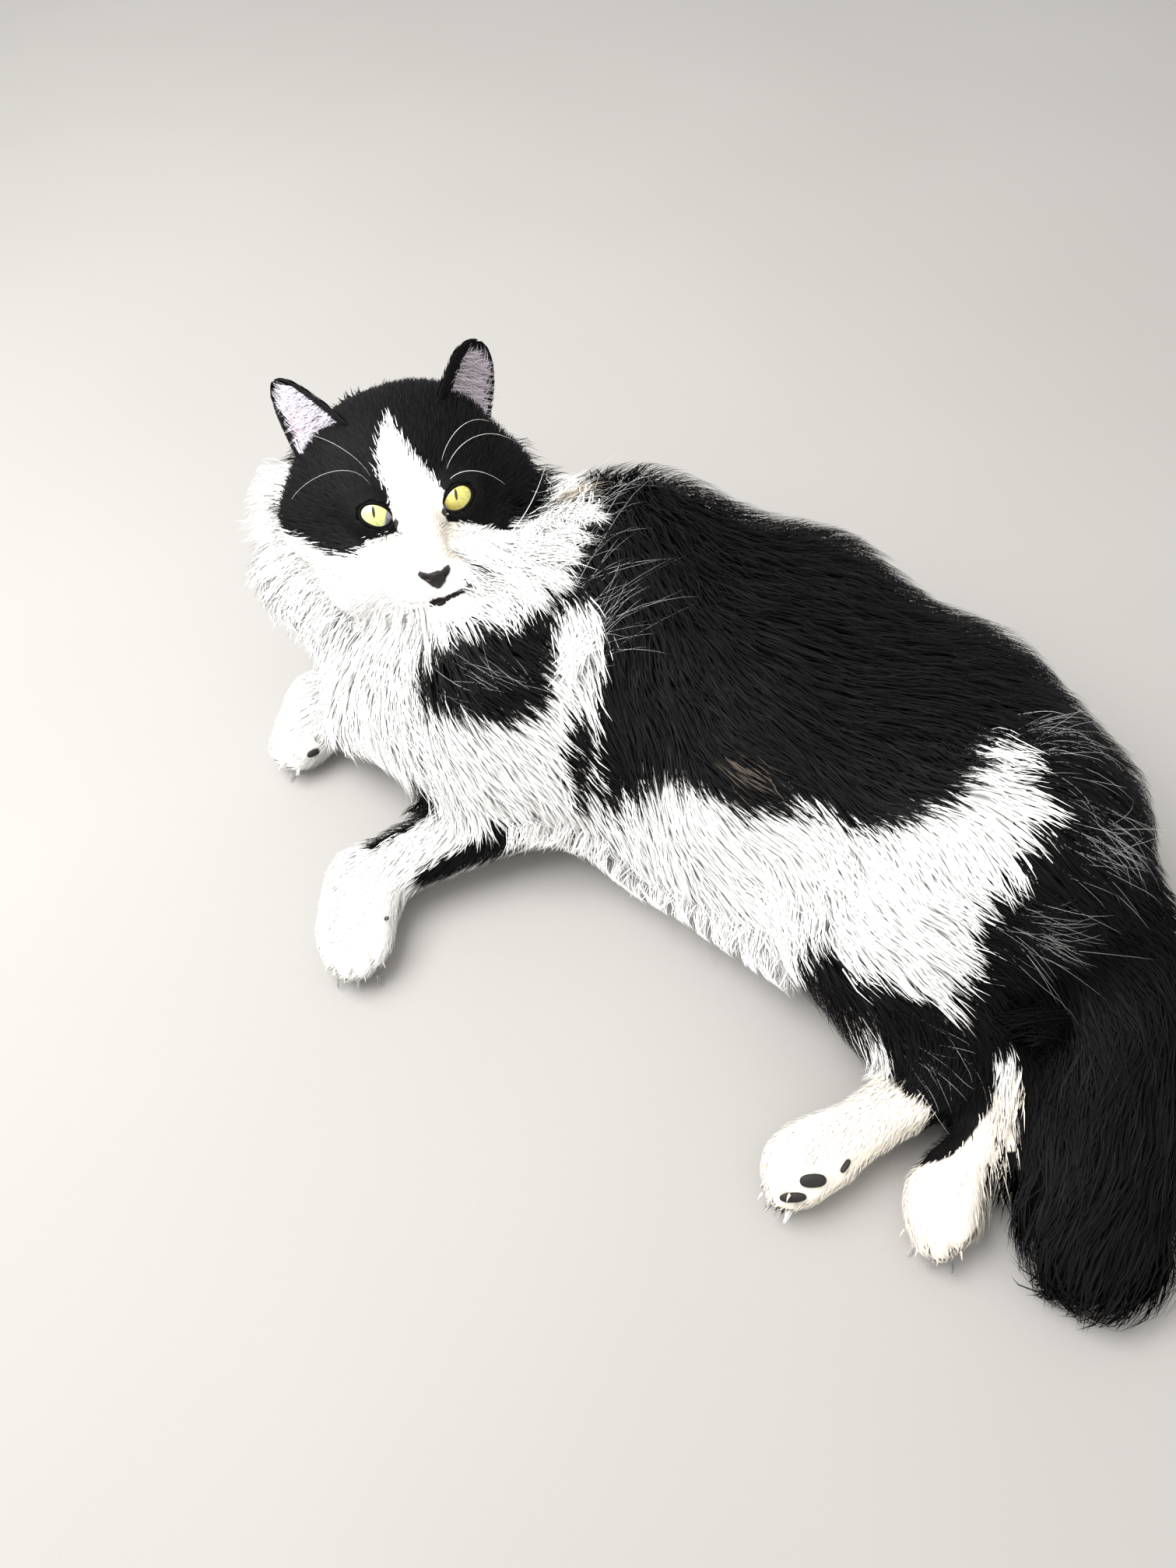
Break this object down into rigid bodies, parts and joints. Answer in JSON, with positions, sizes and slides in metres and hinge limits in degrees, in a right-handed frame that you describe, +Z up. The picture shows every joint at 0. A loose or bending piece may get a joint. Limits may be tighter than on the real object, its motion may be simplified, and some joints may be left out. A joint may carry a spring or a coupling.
{
  "type": "lying cat",
  "caption": "Long-haired black and white cat lying on its right side with its head raised, a life-size still model that rests on the floor.",
  "frame": {"origin": "on the floor, under the middle of the outline's box", "axes": "+Z up from the floor, +X from the head end to the rump end, and the belly and feet face -Y"},
  "size_m": [0.518, 0.4886, 0.2192],
  "materials": {
    "black_fur": "long soft black coat with a faint brown cast",
    "white_fur": "long soft white coat, creamy on the hind feet",
    "nose_leather": "dark moist skin of the nose and pads",
    "eye": "wet yellow-green eye with a narrow upright pupil"
  },
  "bodies": {
    "root": {"head": "black_fur", "nose": "nose_leather", "eye_right": "eye", "eye_left": "eye", "ear_right": "black_fur", "ear_left": "black_fur", "neck": "white_fur", "chest": "white_fur", "belly": "white_fur", "rump": "black_fur", "shoulder_left": "black_fur", "thigh_left": "white_fur", "thigh_right": "black_fur", "forearm_left": "white_fur", "forepaw_left": "white_fur", "forearm_right": "white_fur", "forepaw_right": "white_fur", "shank_left": "black_fur", "hind_foot_left": "white_fur", "shank_right": "black_fur", "hind_foot_right": "white_fur", "tail_1": "black_fur", "tail_2": "black_fur", "tail_3": "black_fur"}
  },
  "joints": []
}
